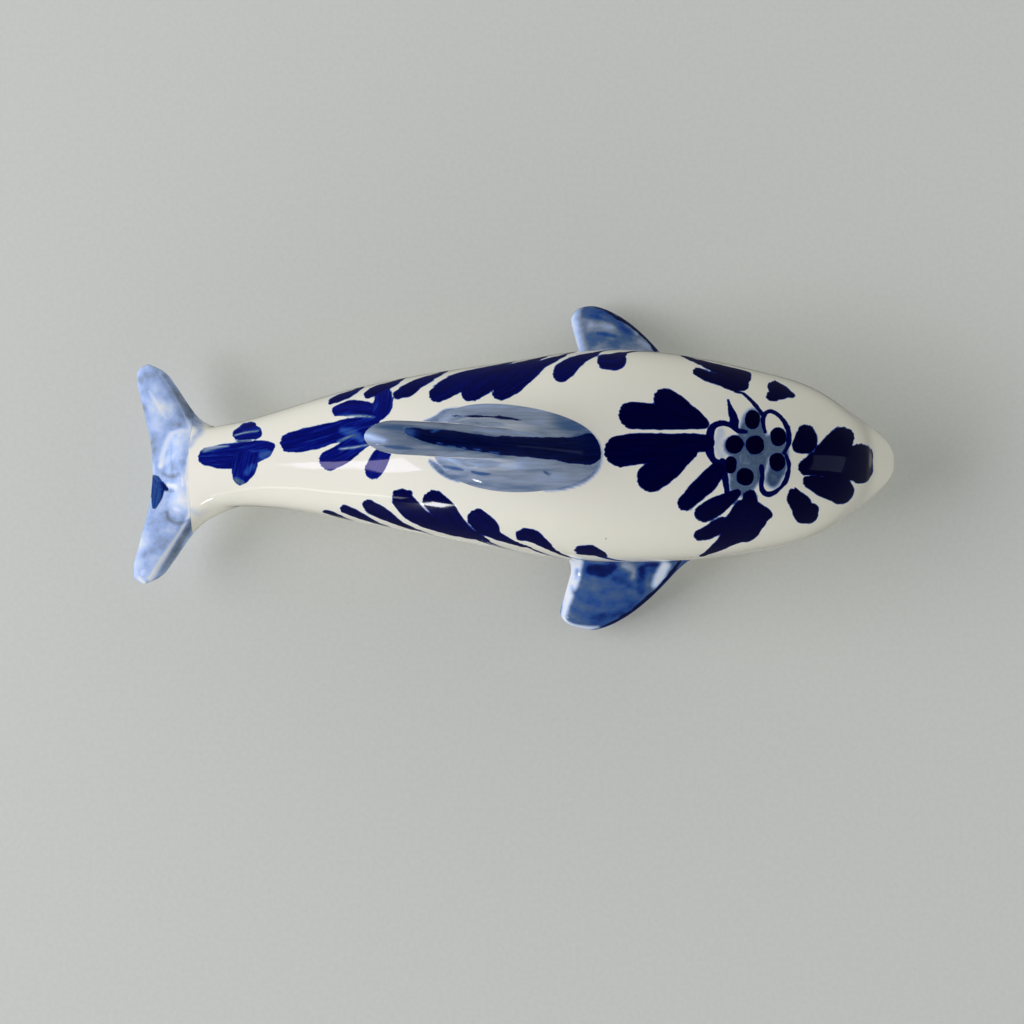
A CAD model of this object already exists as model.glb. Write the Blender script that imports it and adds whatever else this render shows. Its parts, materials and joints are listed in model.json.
# %% [markdown]
# # A hand-painted earthenware dolphin
# The object is a hollow dolphin about eleven centimetres long. It is cast in a plaster mould, its fins
# are stuck on with wet slip, and it is painted in cobalt under a clear glaze. This lesson rebuilds it on
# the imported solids, which give the place and size of every piece. The lesson thinks in millimetres and
# turns them into metres when it makes a mesh.

import json
import math

import bmesh
import bpy
import numpy as np
from mathutils.bvhtree import BVHTree
from mathutils import Matrix, Vector

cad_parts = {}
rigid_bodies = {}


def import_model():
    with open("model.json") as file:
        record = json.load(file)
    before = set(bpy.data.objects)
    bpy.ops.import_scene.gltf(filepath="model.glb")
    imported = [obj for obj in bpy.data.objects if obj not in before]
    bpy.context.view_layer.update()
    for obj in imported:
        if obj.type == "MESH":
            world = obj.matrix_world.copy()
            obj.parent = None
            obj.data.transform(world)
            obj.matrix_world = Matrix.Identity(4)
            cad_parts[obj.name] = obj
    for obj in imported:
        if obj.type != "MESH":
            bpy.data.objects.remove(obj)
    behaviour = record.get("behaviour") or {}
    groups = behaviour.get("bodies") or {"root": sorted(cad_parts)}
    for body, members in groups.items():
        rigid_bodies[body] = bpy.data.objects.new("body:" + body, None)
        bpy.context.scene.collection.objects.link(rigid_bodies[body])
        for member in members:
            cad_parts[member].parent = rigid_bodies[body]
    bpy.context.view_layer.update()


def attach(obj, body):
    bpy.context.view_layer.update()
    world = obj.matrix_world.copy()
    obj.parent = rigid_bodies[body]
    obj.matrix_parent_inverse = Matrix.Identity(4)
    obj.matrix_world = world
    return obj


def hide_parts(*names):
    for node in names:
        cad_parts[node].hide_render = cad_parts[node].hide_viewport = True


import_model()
MM = 0.001

# %% [markdown]
# ## The camera
# The picture was taken from above, with the dolphin lying across the frame and its beak to the right. The
# lens stands a little to the dolphin's right and leans back towards it, so that the right flank shows more
# than the left. The camera comes first, because the places of the brush strokes are read from the picture in
# pixels, and the same numbers that make the camera carry those pixels back on to the glaze.

# %% Camera
PICTURE_SIDE = 1024
FOCAL_PIXELS = 1534
SENSOR_WIDTH = 36
# Where the lens is and what it points at, in mm
EYE = np.array([-10.8, -24.0, 230.0])
AIM = np.array([-10.8, -7.8, 17.0])

look = (AIM - EYE) / np.linalg.norm(AIM - EYE)
right = np.cross(look, [0, 1, 0])
right /= np.linalg.norm(right)
up = np.cross(right, look)

camera_data = bpy.data.cameras.new("overhead_camera")
camera_data.sensor_width = SENSOR_WIDTH
camera_data.lens = SENSOR_WIDTH * FOCAL_PIXELS / PICTURE_SIDE
camera_data.clip_start = 10 * MM


def add_object(name, data):
    """Makes an object and puts it in the scene."""
    made = bpy.data.objects.new(name, data)
    bpy.context.scene.collection.objects.link(made)
    return made


camera = add_object("overhead_camera", camera_data)
turned = Matrix(np.array([right, up, -look]).T).to_4x4()
camera.matrix_world = Matrix.Translation(Vector(EYE * MM)) @ turned
bpy.context.scene.camera = camera


def in_picture(points):
    """Pixels of points given in mm, and how far in front of the lens they are."""
    ray = points - EYE
    depth = ray @ look
    across = PICTURE_SIDE / 2 + FOCAL_PIXELS * (ray @ right) / depth
    down = PICTURE_SIDE / 2 - FOCAL_PIXELS * (ray @ up) / depth
    return np.stack([across, down], -1), depth


print("lens in mm:", round(camera_data.lens, 2), "origin at pixel", in_picture(np.zeros(3))[0].round(1))

# %% [markdown]
# ## The lines of the body
# A boatbuilder would draw this body by its lines: the outline from above, the back and the belly from the
# side, the height of the widest line, and how far the middle line sways. Each line is a short list of
# places along the body, from -1 at the tail to 1 at the beak, with a share of the width or height. A curve
# goes through the places and is then faired with a narrow Gaussian, because a gloss glaze shows every kink.
# Places become angles first, so that a line that runs to nothing closes in a round nose.

# %% Lines of the body
BEAK_REACH = 44.7
TAIL_REACH = 61
BODY_WIDTH = 29.5
BODY_HEIGHT = 32
SWAY = 1.5
# Power of the oval sections: 2 would be an ellipse, more is boxier
FULLNESS = 2.15
# Width of the Gaussian, in radians of the place's angle
FAIRING = 0.022
LINE_SAMPLES = 4001
# Smallest half width or height in mm, so that nothing is divided by nothing
THINNEST = 0.02

PLAN_LINE = [
    (-1, 0), (-0.99, 0.16), (-0.961, 0.27), (-0.918, 0.355), (-0.866, 0.397), (-0.808, 0.412),
    (-0.713, 0.477), (-0.525, 0.648), (-0.341, 0.785), (-0.159, 0.902), (-0.04, 0.98), (0.1, 1),
    (0.281, 0.968), (0.53, 0.852), (0.67, 0.757), (0.742, 0.67), (0.815, 0.549), (0.885, 0.43),
    (0.952, 0.284), (0.994, 0.122), (1, 0),
]
BACK_LINE = [
    (-1, 0.3), (-0.99, 0.335), (-0.961, 0.372), (-0.918, 0.415), (-0.808, 0.515), (-0.6, 0.69),
    (-0.341, 0.888), (-0.1, 0.985), (0.1, 1), (0.407, 0.959), (0.62, 0.865), (0.745, 0.772), (0.81, 0.69),
    (0.853, 0.595), (0.882, 0.505), (0.906, 0.437), (0.93, 0.392), (0.96, 0.352), (0.994, 0.303), (1, 0.262),
]
BELLY_LINE = [
    (-1, 0.3), (-0.99, 0.28), (-0.961, 0.255), (-0.918, 0.222), (-0.866, 0.181), (-0.713, 0.128),
    (-0.525, 0.068), (-0.341, 0.005), (-0.2, -0.03), (0, -0.0375), (0.25, -0.034), (0.45, -0.01),
    (0.658, 0.05), (0.8, 0.098), (0.917, 0.15), (0.973, 0.19), (0.994, 0.22), (1, 0.262),
]
WAIST_LINE = [
    (-1, 0.3), (-0.918, 0.315), (-0.808, 0.338), (-0.525, 0.45), (-0.159, 0.515), (0.157, 0.53),
    (0.53, 0.475), (0.719, 0.39), (0.836, 0.3), (0.917, 0.262), (1, 0.262),
]
CROWN_LINE = [(-1, 1), (0.5, 1), (0.74, 0.97), (0.87, 0.9), (0.93, 0.97), (1, 1)]
SWAY_LINE = [
    (-1, -1.03), (-0.866, -0.48), (-0.713, 0.07), (-0.6, 0.28), (-0.43, 0.3), (-0.3, 0.17), (-0.15, 0),
    (0.1, 0), (0.34, -0.23), (0.5, -0.37), (0.67, -0.37), (0.79, -0.33), (0.88, -0.07), (0.94, 0.1),
    (1, 0.1),
]


def curve_through(points):
    """A cubic curve through points, whose slope at a point is the mean of the slopes beside it."""
    at, value = np.array(points, float).T
    secant = np.diff(value) / np.diff(at)
    slope = np.concatenate([secant[:1], (secant[1:] + secant[:-1]) / 2, secant[-1:]])

    def curve(t):
        i = np.clip(np.searchsorted(at, t) - 1, 0, len(at) - 2)
        span = at[i + 1] - at[i]
        u = (t - at[i]) / span
        start = (1 + 2 * u) * (1 - u) ** 2 * value[i] + u * (1 - u) ** 2 * span * slope[i]
        end = u * u * (3 - 2 * u) * value[i + 1] - u * u * (1 - u) * span * slope[i + 1]
        return start + end

    return curve


def faired(line):
    """A line of the body as a function of the place, smoothed without moving its ends."""
    curve = curve_through([(math.asin(place), share) for place, share in line])
    angle = np.linspace(-math.pi / 2, math.pi / 2, LINE_SAMPLES)
    reach = len(angle) // 20
    kernel = np.exp(-0.5 * (np.arange(-reach, reach + 1) * (angle[1] - angle[0]) / FAIRING) ** 2)
    mirrored = np.pad(curve(angle), reach, "reflect", reflect_type="odd")
    smooth = np.convolve(mirrored, kernel / kernel.sum(), "valid")

    def line_at(place):
        return np.interp(np.arcsin(np.clip(place, -1, 1)), angle, smooth)

    return line_at


plan_at, back_at, belly_at, waist_at, crown_at, sway_at = map(
    faired, [PLAN_LINE, BACK_LINE, BELLY_LINE, WAIST_LINE, CROWN_LINE, SWAY_LINE]
)


def place_of(x):
    """Place along the body of an x in mm: -1 at the tail, 0 over the foot, 1 at the beak."""
    return np.where(x < 0, x / TAIL_REACH, x / BEAK_REACH)


def bow_at(x):
    """How far the middle line sways to the left at x, in mm."""
    return SWAY * sway_at(place_of(x))


def section_at(x):
    """Middle line, half width, back, belly, widest height and fullness of the section at x."""
    place = place_of(x)
    half = np.maximum(plan_at(place) * BODY_WIDTH / 2, THINNEST)
    waist = waist_at(place) * BODY_HEIGHT
    back = np.maximum(back_at(place) * BODY_HEIGHT, waist + THINNEST)
    belly = np.minimum(belly_at(place) * BODY_HEIGHT, waist - THINNEST)
    return bow_at(x), half, back, belly, waist, FULLNESS * crown_at(place)


print("section over the foot:", [round(float(v), 2) for v in section_at(np.array(0.0))])

# %% [markdown]
# ## Tail stock and flukes in one skin
# On the real casting the tail stock swells into the flukes without an edge. The stock and the flukes are
# two simple forms whose distance from any point is easy to write down, so a smooth minimum of the two
# distances gives one skin with a fillet between them. The body and the flukes are both laid on that skin,
# and they part in a plane across the tail, where the fin maker stuck the flukes on.

# %% Distance to the skin
FLUKE_SPAN = 32.1
FLUKE_ROOT_CHORD = 12.4
FLUKE_SWEEP = 2.6
FLUKE_HEIGHT = 8.9
FLUKE_TIP_DROOP = 0.7
FLUKE_THICKNESS = 3.6
FLUKE_TIP_THICKNESS = 2.6
FLUKE_REAR = -62.9
FLUKE_EDGE = 2.5
FLUKE_RIDGE = 1.6
FLUKE_CREST = 0.4
# Share of a fin's length over which its tip rounds off
TIP_ROUND = 0.16
TAIL_FILLET = 3.2
TAIL_PART = -56.9
STOCK_END = -57
STOCK_ROUND = 2.4
# Halvings of the search for the skin along a line
HALVINGS = 22

fluke_lead = curve_through([
    (0, 1), (0.25, 0.96), (0.35, 0.8), (0.42, 0.66), (0.5, 0.535), (0.66, 0.375), (0.8, 0.25),
    (0.94, 0.09), (1, -0.075),
])
fluke_trail = curve_through([
    (0, 0), (0.25, -0.12), (0.5, -0.46), (0.68, -0.75), (0.86, -1), (0.96, -0.87), (1, -0.45),
])


def tip_round(share):
    """Shrink towards a fin's tip that leaves it round."""
    return np.sqrt(np.clip(1 - np.maximum(0, (share - 1) / TIP_ROUND + 1) ** 2, 0, 1))


def outside(across, rise, half, tall, fullness):
    """How far a point is outside an oval, measured along the line from the oval's middle."""
    level = ((np.abs(across) / half) ** fullness + (np.abs(rise) / tall) ** fullness) ** (1 / fullness)
    return np.hypot(across, rise) * (1 - 1 / np.maximum(level, 1e-3))


def off_body(x, y, z):
    """How far points are outside the body, whose tail stock ends in a rounded stub."""
    bow, half, back, belly, waist, crown = section_at(np.maximum(x, STOCK_END))
    above = z >= waist
    tall = np.where(above, back - waist, waist - belly)
    gap = outside(y - bow, z - waist, half, tall, np.where(above, crown, FULLNESS))
    beyond = np.maximum(STOCK_END - x, 0)
    return np.where(beyond > 0, np.hypot(np.maximum(gap + STOCK_ROUND, 0), beyond) - STOCK_ROUND, gap)


def off_flukes(x, y, z):
    """How far points are outside the flukes, which have a ridge above and are flatter below."""
    share = np.abs(y - bow_at(np.array(-TAIL_REACH))) / (FLUKE_SPAN / 2)
    span = np.minimum(share, 1)
    lead = FLUKE_REAR + fluke_lead(span) * FLUKE_ROOT_CHORD
    trail = FLUKE_REAR + fluke_trail(span) * FLUKE_SWEEP
    thick = FLUKE_THICKNESS + (FLUKE_TIP_THICKNESS - FLUKE_THICKNESS) * span
    tall = np.maximum(thick / 2 * tip_round(span), THINNEST)
    rise = z - FLUKE_HEIGHT + FLUKE_TIP_DROOP * span ** 2
    half = np.maximum((lead - trail) / 2, THINNEST)
    across = x - (lead + trail) / 2
    crest = FLUKE_CREST * half
    beside_crest = np.where(across > crest, half - crest, half + crest)
    across = np.where(rise > 0, (across - crest) * half / beside_crest, across)
    gap = outside(across, rise, half, tall, np.where(rise > 0, FLUKE_RIDGE, FLUKE_EDGE))
    return gap + (share - span) * FLUKE_SPAN / 2


def off_tail(x, y, z):
    """How far points are outside the stock and the flukes with the fillet between them."""
    stock, flukes = off_body(x, y, z), off_flukes(x, y, z)
    near = np.maximum(TAIL_FILLET - np.abs(stock - flukes), 0) / TAIL_FILLET
    return np.minimum(stock, flukes) - near ** 2 * TAIL_FILLET / 4


def reach_of(off, centre, direction, most):
    """How many times a direction fits between a point inside the skin and the skin itself."""
    low = np.zeros(np.broadcast_shapes(centre[0].shape, direction[0].shape))
    high = np.full_like(low, most)
    for _ in range(HALVINGS):
        middle = (low + high) / 2
        inside = off(*[c + d * middle for c, d in zip(centre, direction)]) < 0
        low = np.where(inside, middle, low)
        high = np.where(inside, high, middle)
    return low


above_parting = np.array([TAIL_PART, -1.2, 12.5])
print("a point above the parting is", round(float(off_tail(*above_parting)), 2), "mm off the skin")

# %% [markdown]
# ## The body
# The body is a stack of rings. Rings follow the back line at even steps, so that the steep brow of the
# melon gets as many as the flat back, and points crowd towards the back, where most of the painting is.
# The foot is ground flat on the real piece, and a soft maximum does the same here. The inside was emptied
# through a pour hole, so a second, smaller stack and a short round plug are cut out of the first.

# %% Body rings
RING_STEP = 0.28
HALF_SIDES = 112
BACK_CROWDING = 0.55
FOOT_ROUND = 0.25
# Sections behind this x, in mm, are pushed out to the skin that stock and flukes share
TAIL_RINGS_FROM = -44
MOST_STRETCH = 4
BODY_SOFTENING = 8
BACK_SAMPLES = 6000
SECTION_SAMPLES = 420


def evenly(points, shares):
    """Points at shares of the length of each row of points."""
    step = np.linalg.norm(np.diff(points, axis=1), axis=2)
    length = np.concatenate([np.zeros((len(points), 1)), np.cumsum(step, axis=1)], axis=1)
    rows = []
    for row, along in zip(points, length):
        rows.append(np.stack([np.interp(shares * along[-1], along, row[:, k]) for k in range(3)], -1))
    return np.array(rows)


def softened(grid, rounds):
    """Averages each point of closed rings with its neighbours. The first and last rings stay."""
    for _ in range(rounds):
        around = (np.roll(grid, 1, 1) + np.roll(grid, -1, 1) + 2 * grid) / 4
        mixed = around.copy()
        mixed[1:-1] = (around[:-2] + around[2:] + 2 * around[1:-1]) / 4
        mixed[[0, -1]] = grid[[0, -1]]
        grid = mixed
    return grid


def oval(turn, half, above, below, crown):
    """How far across and up points around sections lie, whose upper half has its own fullness."""
    upper = np.sin(turn) >= 0
    power = 2 / np.where(upper, crown, FULLNESS)
    across = half * np.sign(np.cos(turn)) * np.abs(np.cos(turn)) ** power
    return across, np.where(upper, above, below) * np.abs(np.sin(turn)) ** power


angle = np.linspace(math.asin(TAIL_PART / TAIL_REACH), math.pi / 2, BACK_SAMPLES)
line_x = np.where(angle < 0, TAIL_REACH, BEAK_REACH) * np.sin(angle)
line_z = back_at(np.sin(angle)) * BODY_HEIGHT
line_length = np.concatenate([[0], np.cumsum(np.hypot(np.diff(line_x), np.diff(line_z)))])
ring_count = round(line_length[-1] / RING_STEP)
ring_x = np.interp(np.linspace(0, line_length[-1], ring_count + 1)[:-1], line_length, line_x)

turn = np.linspace(math.pi / 2, -math.pi / 2, SECTION_SAMPLES)[None, :]
bow, half, back, belly, waist, crown = [v[:, None] for v in section_at(ring_x)]
wide, rise = oval(turn, half, back - waist, belly - waist, crown)
tail_rings = ring_x < TAIL_RINGS_FROM
shares = np.linspace(0, 1, HALF_SIDES + 1)
shares = shares * (1 - BACK_CROWDING) + BACK_CROWDING * shares ** 2

sides = []
for side in (1, -1):
    stretch = np.ones_like(rise)
    at = ring_x[tail_rings][:, None]
    stretch[tail_rings] = reach_of(
        off_tail,
        (at, bow[tail_rings], waist[tail_rings]),
        (np.zeros(1), side * wide[tail_rings], rise[tail_rings]),
        MOST_STRETCH,
    )
    y = bow + side * wide * stretch
    z = waist + rise * stretch
    sides.append(evenly(np.stack([np.broadcast_to(ring_x[:, None], y.shape), y, z], -1), shares))
body_rings = softened(np.concatenate([sides[0], sides[1][:, -2:0:-1]], axis=1), BODY_SOFTENING)
ring_z = body_rings[..., 2]
body_rings[..., 2] = (ring_z + np.sqrt(ring_z ** 2 + FOOT_ROUND ** 2)) / 2
print("body rings:", body_rings.shape[:2], "back line", round(line_length[-1], 1), "mm")

# %% [markdown]
# ## A skin over the rings
# Rings with equally many points are joined by four-sided faces and closed with a pole at each end, which
# makes a clean closed mesh. What was cut or drilled on the real piece is cut out of the mesh in the same way,
# with a second closed mesh.

# %% Meshes from rings


def piece_from_rings(name, rings, last=None):
    """A closed mesh over rings, with a pole in the middle of each end ring or at a given last point."""
    count, around = rings.shape[:2]
    last = rings[-1].mean(0) if last is None else last
    points = np.concatenate([[rings[0].mean(0)], rings.reshape(-1, 3), [last]])
    here = 1 + np.arange(count)[:, None] * around + np.arange(around)[None, :]
    then = np.roll(here, -1, axis=1)
    quads = np.stack([here[:-1], then[:-1], then[1:], here[1:]], -1).reshape(-1, 4)
    caps = [(0, b, a) for a, b in zip(here[0], then[0])]
    caps += [(len(points) - 1, a, b) for a, b in zip(here[-1], then[-1])]
    mesh = bpy.data.meshes.new(name)
    mesh.from_pydata((points * MM).tolist(), [], quads.tolist() + [tuple(map(int, c)) for c in caps])
    mesh.validate()
    mesh.shade_smooth()
    return add_object(name, mesh)


def points_of(piece):
    """A piece's points in mm and their normals."""
    count = len(piece.data.vertices)
    co, normal = np.empty(count * 3), np.empty(count * 3)
    piece.data.vertices.foreach_get("co", co)
    piece.data.vertices.foreach_get("normal", normal)
    return co.reshape(-1, 3) / MM, normal.reshape(-1, 3)


def box_of(piece):
    """A piece's lowest and highest corner in mm."""
    points = points_of(piece)[0]
    return points.min(0).round(2).tolist(), points.max(0).round(2).tolist()


def cut_out(piece, cutter):
    """Takes the cutter's shape out of a piece, then removes the cutter. Triangles give a clean cut."""
    for part in (piece, cutter):
        shape = bmesh.new()
        shape.from_mesh(part.data)
        bmesh.ops.triangulate(shape, faces=shape.faces)
        shape.to_mesh(part.data)
        shape.free()
    cut = piece.modifiers.new("cut", "BOOLEAN")
    cut.operation, cut.solver, cut.object = "DIFFERENCE", "MANIFOLD", cutter
    bpy.context.view_layer.update()
    made = bpy.data.meshes.new_from_object(piece.evaluated_get(bpy.context.evaluated_depsgraph_get()))
    piece.modifiers.clear()
    piece.data = made
    made.name = piece.name
    bpy.data.objects.remove(cutter)


beak_tip = np.array([BEAK_REACH, float(bow_at(np.array(BEAK_REACH))), BACK_LINE[-1][1] * BODY_HEIGHT])
body = piece_from_rings("body", body_rings[:, ::-1], beak_tip)
print("body skin:", len(body.data.vertices), "points")

# %% [markdown]
# ## The casting hollow
# Slip stood in the mould until about three millimetres had stiffened against the plaster, and the rest was
# poured out through a hole in the belly. The hollow therefore follows the outside at the thickness of that
# wall. It ends short of the tail and the beak, which are too narrow to drain.

# %% Casting hollow and pour hole
WALL = 3
HOLLOW_START = -46
HOLLOW_END = 33.7
HOLLOW_ROUND = 6
HOLLOW_RINGS = 60
HOLLOW_SIDES = 72
POUR_HOLE_RADIUS = 4
POUR_HOLE_X = -12
POUR_HOLE_SIDES = 96
PLUG_HEIGHTS = [-3.0, 1.0, 5.0]

hollow_middle = (HOLLOW_START + HOLLOW_END) / 2
hollow_half = (HOLLOW_END - HOLLOW_START) / 2
hollow_x = hollow_middle - hollow_half * np.cos(np.linspace(0.02, math.pi - 0.02, HOLLOW_RINGS))
depth = np.minimum(np.minimum(hollow_x - HOLLOW_START, HOLLOW_END - hollow_x), HOLLOW_ROUND) / HOLLOW_ROUND
close = np.sqrt(depth * (2 - depth))[:, None]
bow, half, back, belly, waist, crown = [v[:, None] for v in section_at(hollow_x)]
back, belly = back - WALL, np.maximum(belly + WALL, WALL)
core, waist = (back + belly) / 2, np.clip(waist, belly, back)
turn = np.linspace(0, 2 * math.pi, HOLLOW_SIDES, endpoint=False)[None, :]
wide, rise = oval(turn, (half - WALL) * close, (back - waist) * close, (belly - waist) * close, crown)
z = core + (waist - core) * close + rise
hollow_rings = np.stack([np.broadcast_to(hollow_x[:, None], wide.shape), bow + wide, z], -1)
hollow = piece_from_rings("hollow", hollow_rings)
around = np.linspace(0, 2 * math.pi, POUR_HOLE_SIDES, endpoint=False)[None, :]
plug_x = POUR_HOLE_X + POUR_HOLE_RADIUS * np.cos(around)
plug_y = POUR_HOLE_RADIUS * np.sin(around)
plug_rings = np.stack(np.broadcast_arrays(plug_x, plug_y, np.array(PLUG_HEIGHTS)[:, None]), -1)
plug = piece_from_rings("plug", plug_rings)
cut_out(body, hollow)
cut_out(body, plug)
print("hollow body:", len(body.data.vertices), "points")

# %% [markdown]
# ## The flukes
# The flukes are stacked the other way, in slices across the span. In each slice a fan of rays from the
# middle finds the shared skin. The fan runs on into the stock, and a block then takes away everything in
# front of the parting, so that body and flukes meet on the same line.

# %% Flukes
FLUKE_SLICES = 170
FLUKE_SIDES = 120
FLUKE_SOFTENING = 2
FAN_RAYS = 481
FAN_RISE = 1.8
FAN_MOST = 6
# How far the middle of a fan, and the fan itself, may lie in front of the parting, in mm
FAN_MIDDLE_PAST = 1.5
FAN_PAST = 2
# The block that takes away what lies in front of the parting, and the open seam it leaves
BLOCK_HALF = 20
BLOCK_LENGTH = 9
SEAM = 0.01

share = np.sin(np.linspace(-math.pi / 2, math.pi / 2, FLUKE_SLICES + 2)[1:-1])
slice_y = float(bow_at(np.array(-TAIL_REACH))) + share * FLUKE_SPAN / 2
span = np.abs(share)
rear = FLUKE_REAR + fluke_trail(span) * FLUKE_SWEEP
front = np.minimum(FLUKE_REAR + fluke_lead(span) * FLUKE_ROOT_CHORD, TAIL_PART + FAN_MIDDLE_PAST)
middle_x = ((rear + front) / 2)[:, None]
middle_z = (FLUKE_HEIGHT - FLUKE_TIP_DROOP * span ** 2)[:, None]
turn = np.linspace(0, 2 * math.pi, FAN_RAYS)[None, :]
fan_half = np.maximum((front - rear) / 2, 0.05)[:, None]
fan = (fan_half * np.cos(turn), np.zeros(1), FAN_RISE * np.sin(turn))


def off_tail_or_past(x, y, z):
    """How far points are outside the tail's skin, or past where the fans stop."""
    return np.maximum(off_tail(x, y, z), x - TAIL_PART - FAN_PAST)


reach = reach_of(off_tail_or_past, (middle_x, slice_y[:, None], middle_z), fan, FAN_MOST)
slices = [np.broadcast_to(slice_y[:, None], reach.shape), middle_z + fan[2] * reach]
slices = np.stack([middle_x + fan[0] * reach] + slices, -1)
fluke_rings = evenly(slices, np.linspace(0, 1, FLUKE_SIDES + 1))[:, :-1]
flukes = piece_from_rings("flukes", softened(fluke_rings, FLUKE_SOFTENING)[:, ::-1])
corners = np.array([[-1, -1], [1, -1], [1, 1], [-1, 1]]) * BLOCK_HALF
block_ends = (TAIL_PART - SEAM, TAIL_PART + BLOCK_LENGTH)
block_rings = np.array([[(x, y, z) for y, z in corners] for x in block_ends])
cut_out(flukes, piece_from_rings("block", block_rings))
print("flukes:", len(flukes.data.vertices), "points, box", box_of(flukes))

# %% [markdown]
# ## The dorsal fin
# The dorsal fin is a fat blade that leans back over the tail. Its leading and trailing edges are two short
# Bezier curves, and the blade is lofted between them. At the root it spreads in a quarter-round cove, the
# way a wet finger smooths slip into a joint, and the cove follows the back under it.

# %% Dorsal fin
DORSAL_FRONT = -2.3
DORSAL_REAR = -18.5
DORSAL_HEIGHT = 13
DORSAL_OVERHANG = 10.5
DORSAL_THICKNESS = 5.1
DORSAL_TIP_THICKNESS = 4
DORSAL_FLARE = (3.2, 6.5)
DORSAL_YAW = math.radians(4.3)
DORSAL_PIVOT = -16.3
DORSAL_TAPER = 0.1
# Bezier points of the edges, in shares of the way back and of the height
DORSAL_LEAD = [(0, 0), (0.3, 0.78), (1, 1.02)]
DORSAL_TRAIL = [(0, 0), (0.15, 0.5), (1, 0.78)]
# The root's last ring goes down into the body, and the edge of the skirt just under its skin
ROOT_SINK = 1
SKIRT_SINK = 0.02
FIN_RINGS = 90
FIN_SIDES = 120


def bezier(points, t):
    """A Bezier curve of any order through its end points."""
    order = len(points) - 1
    weights = [math.comb(order, k) * t ** k * (1 - t) ** (order - k) for k in range(order + 1)]
    return sum(w[:, None] * np.array(p, float) for w, p in zip(weights, points))


def cove(height, spread, tall):
    """How far a root spreads at a height above the body, in a quarter of an oval."""
    share = np.clip(height / tall, 0, 1)
    return spread * (1 - np.sqrt(1 - (1 - share) ** 2))


def back_surface(x, y):
    """Height of the body's upper skin over a place in plan."""
    bow, half, back, _, waist, crown = section_at(x)
    across = np.clip(np.abs(y - bow) / half, 0, 1)
    return waist + (back - waist) * (1 - across ** crown) ** (1 / crown)


# Rings of a fin crowd at its root, where the cove is, and at its round tip
fin_share = (1 - (1 - np.linspace(0, 0.999, FIN_RINGS)) ** 1.5) ** 1.5
fin_turn = np.linspace(0, 2 * math.pi, FIN_SIDES, endpoint=False)[None, :]


def blade(lead, trail, thick, flare, taper):
    """Chord places, thickness places and cove of a blade between two edges, ring by ring."""
    close = tip_round(fin_share)[:, None]
    chord = np.linalg.norm(lead - trail, axis=1)[:, None] / 2 * close
    thick = thick[:, None] / 2 * close
    across = (1 - np.cos(fin_turn) * close) / 2
    spine = lead[:, None, :] + (trail - lead)[:, None, :] * across[..., None]
    normal = np.stack([np.cos(fin_turn) * thick, np.sin(fin_turn) * chord], -1) + 1e-9
    normal /= np.linalg.norm(normal, axis=2, keepdims=True)
    slim = 1 - taper * np.cos(fin_turn)
    spread = normal * cove(spine[..., 1], *flare)[..., None]
    return across, spine, np.sin(fin_turn) * thick * slim, spread * np.stack([np.ones_like(slim), slim], -1)


lead_reach = DORSAL_REAR - DORSAL_OVERHANG - DORSAL_FRONT
dorsal_lead = np.array([DORSAL_FRONT, 0]) + bezier(DORSAL_LEAD, fin_share) * [lead_reach, DORSAL_HEIGHT]
dorsal_trail = bezier(DORSAL_TRAIL, fin_share) * [-DORSAL_OVERHANG, DORSAL_HEIGHT]
dorsal_trail = np.array([DORSAL_REAR, 0]) + dorsal_trail
dorsal_thick = DORSAL_THICKNESS + (DORSAL_TIP_THICKNESS - DORSAL_THICKNESS) * fin_share
across, spine, thick, spread = blade(dorsal_lead, dorsal_trail, dorsal_thick, DORSAL_FLARE, DORSAL_TAPER)
root_x = DORSAL_FRONT + (DORSAL_REAR - DORSAL_FRONT) * across + spread[..., 0]
y = bow_at(root_x) - math.tan(DORSAL_YAW) * (root_x - DORSAL_PIVOT) + thick + spread[..., 1]
z = back_surface(root_x, y) + spine[..., 1] - SKIRT_SINK
dorsal_rings = np.stack([spine[..., 0] + spread[..., 0], y, z], -1)
dorsal_rings = np.concatenate([dorsal_rings[:1] - [0, 0, ROOT_SINK], dorsal_rings])
dorsal = piece_from_rings("dorsal", dorsal_rings)
print("dorsal fin:", len(dorsal.data.vertices), "points, box", box_of(dorsal))

# %% [markdown]
# ## The flippers
# Each flipper is a flat blade that droops from the flank, with a bowed leading edge. It is lofted in its
# own flat frame, then turned about the length of the body. Every point is measured outwards from where its
# line leaves the body, so the coved root lies on the curved flank all round. The left one is trimmed
# narrower.

# %% Flippers
FLIPPER_SPAN = 13.3
FLIPPER_THICKNESS = 3.6
FLIPPER_TIP_THICKNESS = 2.6
FLIPPER_FLARE = (1.6, 3.2)
FLIPPER_HEIGHT = 11
FLIPPER_DROOP = math.radians(40)
# How far out the Bezier points of the edges lie, in shares of the span
FRONT_STATIONS = (0, 0.6, 1.035, 1)
REAR_STATIONS = (0, 0.28, 0.64, 0.88)


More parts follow.
